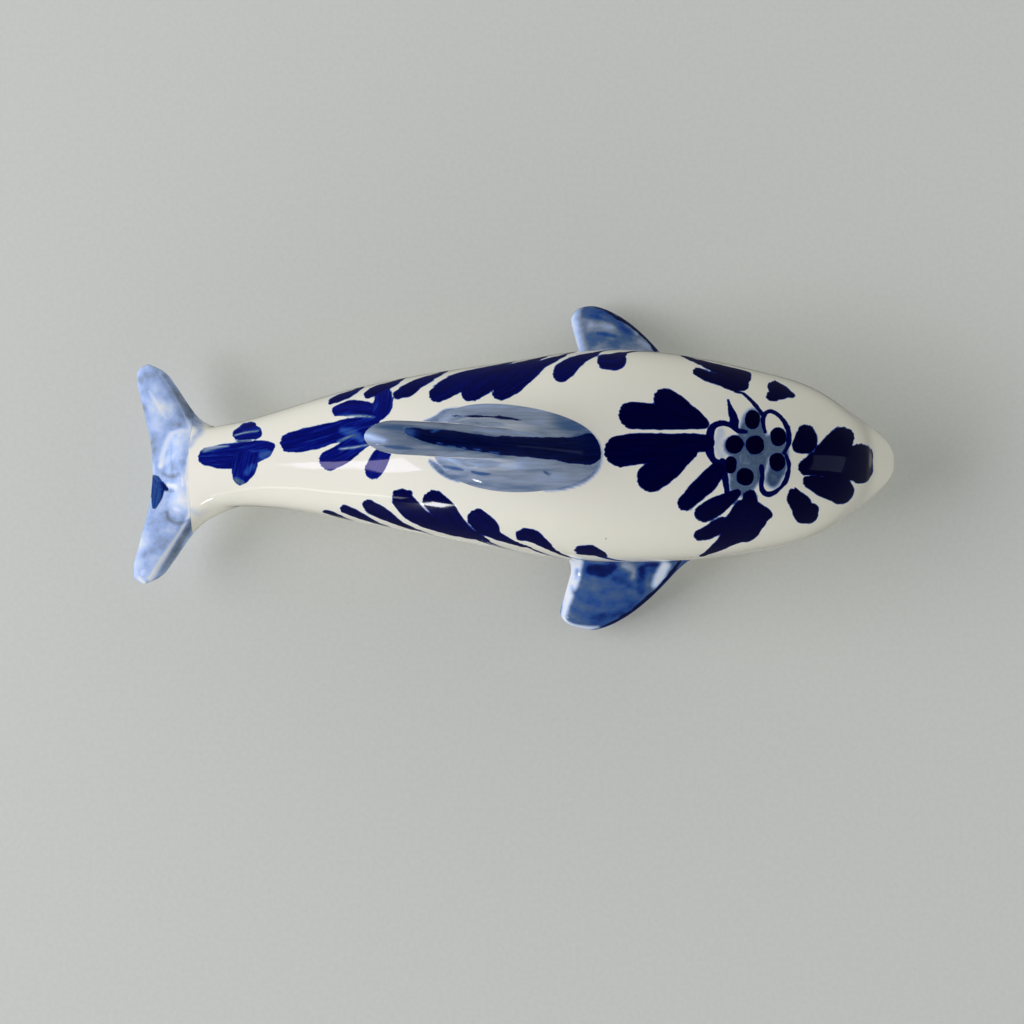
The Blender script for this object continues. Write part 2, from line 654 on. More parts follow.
def flipper(name, side, chord, setback, front, rear):
    """A flipper on the left (1) or right (-1), with the Bezier shares of its front and rear edge."""
    lead = bezier(list(zip(front, FRONT_STATIONS)), fin_share) * [chord, FLIPPER_SPAN]
    trail = bezier(list(zip(rear, REAR_STATIONS)), fin_share) * [chord, FLIPPER_SPAN]
    thick = FLIPPER_THICKNESS + (FLIPPER_TIP_THICKNESS - FLIPPER_THICKNESS) * fin_share
    _, spine, thick, spread = blade(lead, trail, thick, FLIPPER_FLARE, 0)
    middle = chord / 2 - setback
    bow, half, _, belly, waist, _ = section_at(np.array(middle))
    low = (waist - FLIPPER_HEIGHT) / (waist - belly)
    flank = bow + side * half * (1 - low ** FULLNESS) ** (1 / FULLNESS)
    out_y, out_z = side * math.cos(FLIPPER_DROOP), -math.sin(FLIPPER_DROOP)
    x = middle + spine[..., 0] - chord / 2 + spread[..., 0]
    lift = thick + spread[..., 1]
    foot_y = flank + lift * side * math.sin(FLIPPER_DROOP)
    foot_z = FLIPPER_HEIGHT + lift * math.cos(FLIPPER_DROOP)
    start = (x, foot_y - out_y * chord / 2, foot_z - out_z * chord / 2)
    outwards = (np.zeros(1), np.full(1, out_y), np.full(1, out_z))
    leave = reach_of(off_body, start, outwards, chord) - chord / 2
    distance = leave + spine[..., 1] - SKIRT_SINK
    rings = np.stack([x, foot_y + out_y * distance, foot_z + out_z * distance], -1)
    rings = np.concatenate([rings[:1] - np.array([0, out_y, out_z]) * ROOT_SINK, rings])
    return piece_from_rings(name, rings[:, ::-side])


left_flipper = flipper(
    "left_flipper_glazed", side=1, chord=13.4, setback=0.8,
    front=(0.96, 0.71, 0.35, 0.06), rear=(0, -0.01, -0.1, -0.1),
)
right_flipper = flipper(
    "right_flipper_glazed", side=-1, chord=15.4, setback=1.2,
    front=(1, 0.7, 0.34, 0.06), rear=(-0.05, -0.07, -0.16, -0.18),
)
for piece in (left_flipper, right_flipper):
    print(piece.name, "box", box_of(piece))

# %% [markdown]
# ## From the picture to the glaze
# The ornament was painted freehand with a full round brush: pressed down, dragged and lifted. A stroke is
# therefore a short list of places, each with a half width, read by eye in the picture, in pixels. Every
# point of a piece that faces the lens knows its own pixel, so it can measure how deep it lies inside the
# nearest stroke. That depth is kept on the mesh in mm, and the strokes stay on the glaze from every side.
# The shader cuts the stroke's edge out of the smooth depth, so the edge is finer than the mesh. Where the
# glaze turns away from the lens a pixel covers a long way down the flank, so there the strokes are first
# laid on the glaze and the depth is measured around the body instead.

# %% Strokes on a piece
PIXELS_PER_MM = 7.0
# Depth of a point that no stroke is near, and how deep a later stroke covers an earlier one, in mm
UNPAINTED = -5.0
COVERS = 0.06
PATH_STEPS = 8


def path_of(stroke, unit):
    """A stroke's places and half widths as a smooth path in mm."""
    stroke = np.array(stroke * 2 if len(stroke) == 1 else stroke, float) / unit
    # A dot is a stroke too, so it needs a little length
    stroke[-1, 0] += 0.001
    at = np.concatenate([[0], np.cumsum(np.hypot(*np.diff(stroke[:, :2], axis=0).T))])
    t = np.linspace(0, at[-1], PATH_STEPS * len(stroke))
    return np.stack([curve_through(np.stack([at, column], -1))(t) for column in stroke.T], -1)


def laid(places, able, paths):
    """How deep places lie inside paths in mm, and where: along a path, across it, its number."""
    depth = np.full(len(places), UNPAINTED)
    where = np.zeros((len(places), 3))
    for number, path in enumerate(paths):
        line, half = path[:, :-1], path[:, -1]
        reach = half.max() + 1
        near = (places > line.min(0) - reach) & (places < line.max(0) + reach)
        near = np.flatnonzero(able & near.all(1))
        step = np.diff(line, axis=0)
        length = np.maximum(np.linalg.norm(step, axis=1), 1e-6)
        from_start = places[near][:, None] - line[:-1]
        share = np.clip((from_start * step).sum(2) / length ** 2, 0, 1)
        off = from_start - share[..., None] * step
        inside = half[:-1] + share * np.diff(half) - np.linalg.norm(off, axis=2)
        best = inside.argmax(1)
        pick = np.arange(len(near)), best
        deep = inside[pick]
        along = np.concatenate([[0], np.cumsum(length)])[best] + (share * length)[pick]
        aside = (step[best, 0] * off[pick][:, 1] - step[best, 1] * off[pick][:, 0]) / length[best]
        on_top = (deep > depth[near]) | (deep > COVERS)
        where[near[on_top]] = np.stack([along, aside, np.full(len(near), number)], -1)[on_top]
        depth[near] = np.maximum(depth[near], deep)
    return depth, where


def give(piece, name, values):
    """Keeps a number, or three, on every point of a piece for the shader to read."""
    kind = "FLOAT" if values.ndim == 1 else "FLOAT_VECTOR"
    attribute = piece.data.attributes.new(name, kind, "POINT")
    attribute.data.foreach_set("value" if values.ndim == 1 else "vector", values.astype(np.float32).ravel())


def soft_step(value, low, high):
    """0 below low, 1 above high and a smooth rise between."""
    t = np.clip((value - low) / (high - low), 0, 1)
    return t * t * (3 - 2 * t)


def squareness(points, normals):
    """How squarely points face the lens: 1 straight on, 0 edge on, less behind."""
    ray = EYE - points
    return (ray * normals).sum(1) / np.linalg.norm(ray, axis=1)


body_points, body_normals = points_of(body)
body_pixels = in_picture(body_points)[0]
body_square = squareness(body_points, body_normals)
# The inner skin lies a wall's thickness further in
body_outer = off_body(*body_points.T) > -1
print("share of the body's points that face the lens:", round(float((body_square > 0).mean()), 3))

# %% [markdown]
# ## The painter's strokes
# The pattern is the usual one of this ware: fern fronds along the flanks, a rosette on the brow with leaves
# around it, and a small cross of leaves on the tail. Full strokes carry so much cobalt that they fire
# almost black. Some leaves were set down with the flat of the brush, and a short stroke across gives them
# that blunt start. The fine outlines of the petals were drawn with a liner, and the rosette was washed with
# thin paint. Every group has a tone, from 0 for a full brush to 1 for a nearly dry one. Thin paint and dry
# places are dabs: an amount, the softness of the edge in mm, and a stroke.

# %% Full strokes read from the picture
TAIL_CROSS = [
    [(208, 457, 8.5), (222, 456.5, 11.5), (240, 455, 12), (256, 451.5, 10.5), (266, 449, 7), (271, 447, 3)],
    [(245, 462, 12), (243, 470, 10.5), (241, 478, 6), (240, 483, 2)],
    [(238, 434.5, 5), (247, 432, 7.5), (255, 432.5, 6)],
    [(245, 428, 4), (252, 426.5, 3.5)],
]
BACK_LEAVES = [
    [(290, 442.5, 9), (305, 440, 11), (330, 433.5, 10), (350, 428, 9), (372, 422, 7)],
    [(338, 410.5, 5), (350, 408.5, 7.2), (365, 409.5, 7.5), (376, 412, 7)],
    [(384, 394, 7), (383, 404, 9), (378, 414, 7)],
    [(330, 460, 9.5), (342, 454, 9.5), (354, 445.5, 8.8), (366, 438, 7.5)],
    [(374, 470, 8.5), (380, 459, 8.5), (385, 451, 6)],
]
LEFT_FROND = [
    [(331, 402, 2), (342, 397, 3.2), (352, 392, 2.4), (362, 387, 1)],
    [(368, 395, 3.2), (378, 389, 4.2), (390, 384, 3), (402, 379, 1.2)],
    [(398, 395, 4.2), (408, 390, 5.6), (420, 383, 4.4), (434, 376, 2.4), (446, 371, 1)],
    [(437, 394, 7), (448, 388, 9), (462, 380, 8.5), (480, 372, 6), (498, 366, 3), (512, 362, 1.2)],
    [(471, 393, 8), (481, 386, 9.5), (496, 377, 9), (512, 369, 6.5), (530, 361, 3.2), (545, 357, 1.2)],
    [(501, 392, 8), (511, 386, 9.2), (522, 378, 8.6), (534, 369, 6), (548, 361, 3.2), (565, 355, 1.2)],
    [(562, 373, 8.5), (570, 366, 7.6), (582, 358.5, 4.6), (597, 353, 1.2)],
    [(606, 361, 8), (617, 360.5, 8), (621, 355, 4)],
]
RIGHT_FROND = [
    [(326, 512, 1.8), (334, 514.5, 2.6), (343, 518, 2), (352, 520.5, 0.8)],
    [(344, 509.5, 3.3), (354, 513.5, 3.8), (366, 519, 2.8), (378, 523.5, 1.6), (389, 527, 0.7)],
    [(369, 506, 5.8), (380, 512.5, 6), (392, 520, 4.2), (406, 526.5, 2.3), (427, 533, 0.7)],
    [(402, 499, 9), (410, 509, 9.8), (422, 519, 8.8), (440, 528, 6.2), (458, 534.5, 3.6), (478, 539, 1.6)],
    [(434, 501, 10.4), (444, 510, 10.8), (452, 520, 9), (466, 531, 5.4), (485, 540, 2)],
    [(478, 519, 9.4), (487, 527, 9.6), (497, 536, 5), (512, 542.5, 2.2), (530, 547.5, 0.9)],
    [(524, 535.5, 6.4), (534, 537, 6.2), (543, 543, 4.2), (551, 549, 2), (559, 553, 0.7)],
    [(584, 551, 5), (590, 551, 5), (597, 553, 4), (604, 556.5, 1)],
]
BLUNT_STARTS = [
    [(396.5, 493.5, 2.6), (409.5, 493.5, 2.6)],
    [(519.5, 532.5, 2), (519.5, 538.5, 2)],
    [(579, 547.7, 1.8), (592, 547.3, 1.8)],
    [(579, 553.8, 1.8), (596, 555, 1.4)],
]
BROW_LEAVES = [
    [(632, 415, 12.6), (650, 416.6, 12.4), (672, 418.6, 10.4), (692, 421.6, 7), (704, 424, 4.2)],
    [(665, 399, 10.5), (676, 406, 10.5), (690, 415, 8.5), (702, 422, 5)],
    [(620, 450.3, 15), (645, 448.5, 14.8), (670, 446.5, 12.5), (690, 443, 9.2), (706, 443, 8)],
    [(652, 477, 14.5), (664, 470, 13), (677, 461, 10), (690, 453, 6)],
    [(686, 503, 7.6), (697, 492, 9), (709, 480, 9.5), (717, 470, 8)],
    [(704, 513, 8.5), (715, 507, 9), (727, 500, 6.5), (737, 493, 3.5)],
    [(700, 535, 5.5), (711, 530.5, 6.5), (722, 524, 6.5)],
    [(752, 509, 9), (762, 514, 7), (769, 515, 3)],
    [(744, 511, 11), (741, 521, 14), (736, 531, 12.5), (728, 540, 8), (715, 549, 4), (702, 556, 1.2)],
    [(757, 519, 9), (752, 530, 7.5), (746, 538, 5)],
    [(750, 496, 6), (750, 505, 8)],
    [(684, 356.5, 1.2), (700, 361.5, 2.8), (716, 367.5, 4.4), (732, 372.5, 6), (744, 377, 6.8)],
    [(697, 371.5, 3.3), (708, 376.5, 4.8), (722, 381, 5), (735, 384, 6.3), (743, 385, 5.4)],
    [(774, 387, 5.5), (778, 392, 7.6), (786, 393, 4), (793, 395.5, 1.4)],
    [(771, 396, 4.4), (776, 396, 4.4)],
]
NOSE_LEAVES = [
    [(806, 433, 7.8), (806, 441, 11), (799, 446, 6.4)],
    [(842, 439, 11.5), (833, 445, 10), (822, 452, 7)],
    [(806, 467, 7), (820, 463, 12), (838, 462, 17), (850, 463, 17)],
    [(860, 456, 11.8), (860, 471, 11.8)],
    [(809, 482, 5.5), (826, 487, 10), (840, 490.5, 13)],
    [(795, 497, 8), (801, 506, 10), (806, 513, 10.5), (813, 509, 5)],
]
ROSETTE_DOTS = [
    [(734.5, 444.5, 8.6)],
    [(755, 445, 9)],
    [(752.5, 417, 6.6), (752.5, 422, 6.6)],
    [(778.5, 435.5, 7.4), (778.5, 438.5, 7.4)],
    [(777.5, 461, 7.4), (777.5, 463.5, 7.4)],
    [(745, 476.5, 8.5)],
    [(731, 462, 5), (731, 468, 5)],
]
PETAL_LINES = [
    [(746, 432, 2.2), (738, 430.5, 2.2), (731, 425.5, 2.4), (722, 423, 2.6), (713, 427, 3), (709.5, 436, 4.2),
     (709.5, 448, 4.4), (712.5, 459, 3.6), (718, 464, 3.6)],
    [(765, 432, 1.4), (763, 424, 1.8), (764, 415, 2), (769, 411.5, 2), (777, 414, 2), (784, 421.5, 2.2),
     (788.5, 433, 2.5), (788, 445, 2.4), (784, 453, 1.8)],
    [(786, 455, 1.8), (789, 465, 2.2), (787.5, 476, 2.2), (782, 486, 2.2), (774, 492.5, 2.2), (766, 494, 2.2),
     (761.5, 488, 2.5), (762, 476, 2.2), (761.5, 466, 1.8)],
    [(735, 391.7, 1), (743, 393.3, 1.4), (750, 399, 1.6), (756.5, 407, 1.8), (762, 413.5, 1.9)],
    [(728, 400, 0.9), (731, 410, 2.8), (734, 420, 4), (736, 427, 2.5)],
    [(722, 462, 4), (724, 474, 3.6), (726, 485, 3), (727, 493, 2.5)],
    [(608, 473, 0.7)], [(606, 539, 0.8)],
]
THIN_PAINT = [
    (0.34, 0.25, [(753, 414, 6), (752, 420, 10), (752, 430, 12)]),
    (0.44, 0.25, [(752, 430, 12), (752, 445, 17), (748, 465, 18), (742, 484, 13)]),
    (0.42, 0.25, [(757, 448, 13), (777, 447, 10), (780, 458, 9), (777, 470, 9)]),
    (0.5, 0.5, [(778, 466, 9), (773, 480, 7.5)]),
    (0.1, 0.3, [(721, 432, 4), (719, 445, 5), (722, 455, 4)]),
    (0.44, 0.25, [(757, 446, 11), (734, 446, 10.5)]),
    (0.45, 0.2, [(239, 440.5, 3), (249, 440.5, 3)]),
    (0.22, 0.5, [(188, 414, 6), (196, 422, 6), (200, 429, 3.5), (195, 438, 2), (190, 446, 1)]),
    (0.07, 0.5, [(206, 511, 1), (199, 514, 3), (192, 511, 3)]),
    (0.36, 0.15, [(424, 421.5, 1), (436, 419.5, 4), (447, 415.5, 6.5), (456, 412.5, 5)]),
    (0.36, 0.25, [(580, 428, 3), (594, 441, 4), (598, 455, 4), (595, 468, 4), (586, 478, 3)]),
    (0.36, 0.15, [(430, 461, 1.5), (437, 467, 3.5), (447, 473, 4.5), (458, 478, 4)]),
    (0.36, 0.2, [(590, 474, 4), (582, 480, 3.8), (572, 484.3, 3.3), (560, 487.8, 2.4), (545, 490, 1.2)]),
]
DRY_PLACES = [
    (0.5, 0.2, [(204, 450.5, 2), (211, 448, 2.6), (219, 447, 1.6), (228, 446, 1)]),
    (0.24, 0.3, [(262, 455, 3.5), (268, 453, 3)]),
    (0.36, 0.25, [(236, 480, 2.5), (242, 483, 2.5)]),
    (0.16, 0.3, [(247, 473, 3), (252, 466, 2.5)]),
    (0.6, 0.12, [(235, 435.3, 0.8), (246, 432.4, 0.9), (258, 431, 0.8)]),
    (0.7, 0.15, [(338, 417.6, 0.6), (352, 416.2, 1.2), (364, 416.2, 1), (374, 417.2, 0.5)]),
    (0.24, 0.5, [(342, 430, 3), (354, 434, 4), (362, 440, 3)]),
    (0.5, 0.2, [(338, 442, 1), (346, 438, 1.4), (354, 435, 1)]),
    (0.6, 0.15, [(340, 449, 0.9), (354, 447.4, 1.2), (368, 444.6, 0.8)]),
]
FULL_GROUPS = [
    (TAIL_CROSS, 0.5), (BACK_LEAVES, 0.45), (LEFT_FROND, 0.2), (RIGHT_FROND, 0.12), (BLUNT_STARTS, 0.12),
    (BROW_LEAVES, 0.06), (NOSE_LEAVES, 0.03), (ROSETTE_DOTS, 0),
]
print("strokes read:", sum(len(group) for group, _ in FULL_GROUPS), "full,", len(PETAL_LINES), "fine")

# %% [markdown]
# ## The flanks that the picture doesn't show
# The fronds have a stem along the widest line of the body, and their lower leaves hang from it on the side
# that the lens can't see. They are painted from the side, in mm, with the same brush. So are a round eye
# and the line of the mouth, where such figurines have them.

# %% Strokes seen from the side
# Tip, length, drop and half width of each lower leaf, and the shares that make a leaf of them
LOWER_LEAVES = [
    (-30, 4, 1.5, 0.45), (-26, 6, 2.4, 0.6), (-21, 8, 3.6, 0.9), (-14, 10.5, 5, 1.25), (-9, 11, 5.6, 1.35),
    (-4, 10.5, 5.2, 1.3), (1, 7, 3.8, 1.15), (5, 4.5, 2.6, 1),
]
LEAF_SHAPE = [(1, 1, 1), (0.8, 0.85, 1.1), (0.45, 0.5, 0.8), (0, 0, 0.2)]
# First and last x of the stem and its half width, then the eye and the radius and half width of its lid
STEM = (-35, 6, 0.28)
EYE_SPOT = (27.2, 12.2, 0.9)
EYE_LID = (1.8, 0.29)
MOUTH = [(43.6, 8.7, 0.22), (41, 8.8, 0.3), (38, 8.7, 0.32), (35, 9, 0.31), (32.6, 10, 0.24)]


def rim_height(x, side):
    """Height of the line on a flank where the glaze turns out of the lens's sight."""
    on_flank = (body_normals[:, 1] * side > 0.5) & body_outer
    near = np.flatnonzero((np.abs(body_points[:, 0] - x) < 0.4) & on_flank)
    return float(body_points[near[np.abs(body_square[near]).argmin()], 2])


flank_strokes = {}
flank_lines = {}
for side in (1, -1):
    rim_x = np.linspace(-40, 10, 26)
    rim = np.poly1d(np.polyfit(rim_x, [rim_height(x, side) for x in rim_x], 4))
    leaves = []
    for tip, length, drop, half in LOWER_LEAVES:
        backs = [tip - back * length for back, _, _ in LEAF_SHAPE]
        leaf = [(x, rim(x) - down * drop, wide * half) for x, (_, down, wide) in zip(backs, LEAF_SHAPE)]
        leaves.append(leaf)
    flank_strokes[side] = leaves + [[EYE_SPOT]]
    stem = [(x, rim(x) + 0.2, STEM[2]) for x in np.linspace(STEM[0], STEM[1], 15)]
    (eye_x, eye_z, _), (radius, lid_half) = EYE_SPOT, EYE_LID
    lid_turn = np.linspace(-0.3, math.pi + 0.3, 12)
    lid = [(eye_x + radius * math.cos(a), eye_z + radius * math.sin(a), lid_half) for a in lid_turn]
    flank_lines[side] = [stem, lid, MOUTH]
    print("flank", side, "stem height over the foot:", round(float(rim(0)), 2), "mm")

# %% [markdown]
# ## Painting the body
# Every point of the body gets numbers for the shader: how deep it lies in a full stroke and in a fine line,
# how thick the thin paint is and how dry the brush was. It also gets its place along and across its stroke,
# because the streaks of the bristles follow the brush. The frond leaves of the picture run over the edge of
# what the lens sees, so each one gets a stalk that leads down to the stem.

# %% Paint the body
# Where the sideways part of the normal is between these, the strokes change over to the glaze's own measure
STEEP = (0.85, 0.97)
# A dot is pressed, not drawn, so it starts past the teeth that a drawn stroke starts with
DOT_START = 9
FLANK_TONE = 0.12
WASH_TONE = 0.2
# Streaks differ from stroke to stroke, and run across the rosette in the thin paint
STROKE_SPREAD = [1, 1, 3.7]
WASH_FLOW = [2.6, 0.22, 0.5]
WASH_OFFSET = [300, 0, 0]


def on_glaze(path):
    """Lays a path of the picture on the body, a little wider where the glaze turns away."""
    seen = np.flatnonzero((body_square > 0.02) & body_outer)
    pixels = path[:, :2] * PIXELS_PER_MM
    found = [seen[np.abs(body_pixels[seen] - pixel).sum(1).argmin()] for pixel in pixels]
    wider = path[:, 2] / np.sqrt(np.clip(body_square[found], 0.3, 1))
    return np.column_stack([body_points[found], wider])


def stalk_of(path, side):
    """A thin line from a leaf's tip on the flank, forward and down to the stem."""
    x, _, z, _ = on_glaze(path[-1:])[0]
    fall = max(z - rim_height(x, side), 0.3)
    return [
        (x - 0.6, z + 0.3, 0.36),
        (x + 0.5 * fall, z - 0.5 * fall, 0.3),
        (x + 1.3 * fall, z - fall + 0.2, 0.22),
    ]


def paint_body(strokes, side_strokes):
    """Depth inside strokes of the picture, laid on the glaze where it is steep, and of the side."""
    paths = [path_of(stroke, PIXELS_PER_MM) for stroke in strokes]
    depth, where = laid(body_pixels / PIXELS_PER_MM, (body_square > 0) & body_outer, paths)
    steep = soft_step(np.abs(body_normals[:, 1]), *STEEP)
    steep_paths = [on_glaze(path) for path in paths]
    steep_depth, steep_where = laid(body_points, (steep > 0) & body_outer, steep_paths)
    depth = depth + steep * (steep_depth - depth)
    where = np.where((steep > 0.5)[:, None], steep_where, where)
    for side in (1, -1):
        able = (body_normals[:, 1] * side > 0.05) & ((steep > 0) | (body_square < 0)) & body_outer
        side_paths = [path_of(stroke, 1) for stroke in side_strokes[side]]
        side_depth, side_where = laid(body_points[:, ::2], able, side_paths)
        side_where[:, 2] += len(strokes)
        where = np.where((side_depth > depth)[:, None], side_where, where)
        depth = np.maximum(depth, side_depth)
    return depth, where


def thinly(pixels, facing, dabs):
    """Thickness of the paint that each soft dab adds: its amount, its softness in mm and its stroke."""
    paths = [path_of(dab, PIXELS_PER_MM) for _, _, dab in dabs]
    depths = [laid(pixels / PIXELS_PER_MM, facing, [path])[0] for path in paths]
    return np.array([dab[0] * soft_step(depth, -dab[1], dab[1]) for dab, depth in zip(dabs, depths)])


full = [(stroke, tone) for group, tone in FULL_GROUPS for stroke in group]
ink, bristle = paint_body([stroke for stroke, _ in full], flank_strokes)
tones = np.array([tone for _, tone in full] + [FLANK_TONE] * len(flank_strokes[1]))
for side, frond in ((1, LEFT_FROND), (-1, RIGHT_FROND)):
    flank_lines[side] += [stalk_of(path_of(leaf, PIXELS_PER_MM), side) for leaf in frond]
give(body, "ink", ink)
tone = tones[bristle[:, 2].astype(int)]
bristle[:, 0] += np.where(tone == 0, DOT_START, 0)
washing = body_points * WASH_FLOW + WASH_OFFSET
give(body, "tone", np.where(ink > -0.2, tone, WASH_TONE))
give(body, "bristle", np.where((ink > -0.45)[:, None], bristle * STROKE_SPREAD, washing))
give(body, "fine", paint_body(PETAL_LINES, flank_lines)[0])
give(body, "wash", thinly(body_pixels, body_square > 0.1, THIN_PAINT).max(0))
give(body, "worn", thinly(body_pixels, body_square > 0.1, DRY_PLACES).max(0))
print("share of the body's points under full strokes:", round(float((ink > 0).mean()), 3))

# %% [markdown]
# ## Washing the fins
# The fins were washed with thin cobalt, which pools in hollows and is wiped off edges. A wash has a base
# thickness, from 0 for bare white to 1 for a full stroke. Soft dabs add to it or, where their amount is
# negative, take it away. How cloudy the wash is and which way it flowed differ from fin to fin. The dorsal
# fin also has a full stripe along its leading edge, the flippers a dark line at the front, and the flukes a
# small mark in the notch.

# %% Paint the fins


def paint_fin(piece, dabs, base, cloudy, flow, strokes=(), lines=(), dry=()):
    """Lays a wash of some thickness on a fin, with softer dabs, and full and fine strokes over it."""
    points, normals = points_of(piece)
    pixels, facing = in_picture(points)[0], squareness(points, normals) > 0
    # What the fin hides from the lens itself, such as the root under the blade, gets only the wash
    faces = BVHTree.FromPolygons(points.tolist(), [face.vertices[:] for face in piece.data.polygons])
    starts = points + 0.1 * normals
    facing &= np.array([faces.ray_cast(start, EYE - start)[0] is None for start in starts])
    places = pixels / PIXELS_PER_MM
    ink, bristle = laid(places, facing, [path_of(stroke, PIXELS_PER_MM) for stroke in strokes])
    fine, _ = laid(places, facing, [path_of(line, PIXELS_PER_MM) for line in lines])
    wash = np.clip(base + thinly(pixels, facing, dabs).sum(0), 0, 1)
    give(piece, "ink", ink)
    give(piece, "fine", fine)
    give(piece, "tone", np.full(len(points), cloudy))
    give(piece, "bristle", np.where((ink > -0.1)[:, None], bristle, points * flow))
    give(piece, "wash", wash)
    give(piece, "worn", thinly(pixels, facing, dry).sum(0) if dry else np.zeros(len(points)))
    print(piece.name, "mean thickness of the wash:", round(float(wash.mean()), 3))


# %% Paint the dorsal fin
DORSAL_DABS = [
    (0.14, 1.2, [(560, 420, 8), (585, 436, 10)]),
    (-0.34, 0.5, [(365, 435, 1.5), (373, 437.5, 2.5), (384, 440.5, 1.5)]),
    (0.1, 0.5, [(378, 424.5, 3), (395, 427.5, 4), (410, 430, 4)]),
    (-0.07, 0.5, [(450, 428, 2.5), (490, 431, 3), (535, 432, 3)]),
    (0.07, 0.5, [(450, 478, 3), (490, 485, 3), (540, 490, 3)]),
    (-0.07, 0.8, [(440, 456, 4), (480, 463, 5), (520, 467, 5)]),
    (0.25, 0.15, [(545, 472.5, 1.2), (550, 474.5, 1)]),
    (0.2, 0.8, [(412, 432.5, 4), (425, 435, 7), (445, 438, 9), (470, 442, 9), (500, 446, 9)]),
    (0.16, 0.2, [(385, 446.5, 0.8), (398, 448, 1.6), (412, 448.5, 0.8)]),
    (0.2, 0.15, [(443, 466.5, 0.8), (453, 468, 1.6), (463, 470, 0.8)]),
    (0.2, 0.15, [(472, 471.5, 1), (480, 473.5, 1.6), (489, 474, 0.8)]),
]
DORSAL_STRIPE = [
    [(408, 431, 3.5), (417, 433, 5), (426, 435.5, 6), (436, 436.7, 7), (450, 438.5, 7.6), (465, 441, 7.6),
     (483, 443.7, 7.8), (500, 445.2, 8.6), (518, 446.5, 9.6), (536, 447.5, 10), (554, 448.8, 10.8),
     (575, 450, 13), (588, 449, 15.5)],
]
DORSAL_LINES = [
    [(450.8, 415.8, 0.6), (475, 416.3, 1), (500, 417.5, 1.1), (521, 420.3, 0.5)],
]
DORSAL_DRY = [
    (0.34, 1, [(400, 430, 4), (411, 433, 4)]),
    (0.34, 0.12, [(437, 442.5, 0.7), (441, 443.6, 0.9)]),
    (0.3, 0.12, [(448, 446, 0.7), (455, 447, 1)]),
    (0.36, 0.12, [(462, 447.3, 0.8), (466, 448.5, 0.9)]),
    (0.3, 0.12, [(474, 449.3, 0.8), (481, 450, 1)]),
    (0.3, 0.12, [(490, 452, 0.7), (499, 453.2, 0.8)]),
    (0.3, 0.1, [(433, 431.5, 1.5), (437, 430.5, 1)]),
]
paint_fin(
    dorsal, DORSAL_DABS, base=0.42, cloudy=0.17, flow=(0.5, 0.45, 0.45),
    strokes=DORSAL_STRIPE, lines=DORSAL_LINES, dry=DORSAL_DRY,
)

# %% Paint the flippers
LEFT_DABS = [
    (0.2, 0.45, [(586, 311, 5), (598, 313, 6), (610, 318, 5), (620, 325, 4.5), (630, 333, 3.5)]),
    (-0.42, 1, [(577, 305, 3), (571, 312, 5), (572, 330, 6), (577, 348, 6)]),
    (-0.12, 0.5, [(592, 325, 4), (615, 327, 3)]),
    (0.22, 0.25, [(598, 333.5, 1.2), (607, 334.5, 1.8), (615, 336.5, 1)]),
    (0.1, 0.3, [(582, 316.5, 1.5), (594, 317.5, 1.8), (606, 320, 1.2)]),
    (-0.16, 0.3, [(626, 325, 1), (637, 334, 1.2)]),
    (0.06, 0.5, [(594, 343, 4), (614, 344, 4)]),
    (-0.15, 0.4, [(640, 341, 2.5), (650, 348, 2.5)]),
]
LEFT_FRONT_LINE = [
    [(594, 306.5, 0.7), (604, 309.5, 1.1), (616, 317, 1.7), (633, 326.8, 1.9), (645, 337.3, 2),
     (655.6, 350, 2.1)],
]
RIGHT_DABS = [
    (0.19, 0.35, [(592, 570, 5.5), (603, 571, 6.5), (613, 566, 4)]),
    (0.2, 0.35, [(641, 570, 4), (641, 590, 4.5)]),
    (0.18, 0.3, [(646, 564, 2.5), (658, 564.5, 2.5)]),
    (-0.61, 0.4, [(665, 566, 5), (660, 576, 5.5), (655, 585, 3)]),
    (-0.26, 0.6, [(624, 566, 3.5), (634, 571, 4), (632, 578, 2)]),
    (0.1, 0.4, [(614, 578, 3), (626, 583, 4), (633, 588, 2)]),
    (-0.61, 0.4, [(575, 563, 8), (572, 580, 7), (568, 595, 5), (565, 608, 3.5), (562, 622, 3)]),
    (0.3, 0.35, [(577, 570, 1.5), (576, 578, 1.8)]),
    (0.3, 0.35, [(572, 587, 1.5), (573, 592, 1.8)]),
    (-0.61, 0.3, [(563, 621, 2.5), (572, 626.5, 2.8), (586, 628.5, 2.4), (598, 627, 1)]),
    (0.08, 0.6, [(578, 612, 5), (598, 618, 6)]),
]
RIGHT_FRONT_LINE = [
    [(602, 627, 1), (617, 620, 1.6), (630, 612, 1.7), (645, 600.5, 1.7), (658, 588, 1.7), (668, 577, 1.6),
     (676, 567, 1.5), (681, 559, 1.4)],
]
FLIPPER_WASH = {"cloudy": 0.28, "flow": (1.1, 0.095, 0.28)}
paint_fin(left_flipper, LEFT_DABS, base=0.48, lines=LEFT_FRONT_LINE, **FLIPPER_WASH)
paint_fin(right_flipper, RIGHT_DABS, base=0.64, lines=RIGHT_FRONT_LINE, **FLIPPER_WASH)

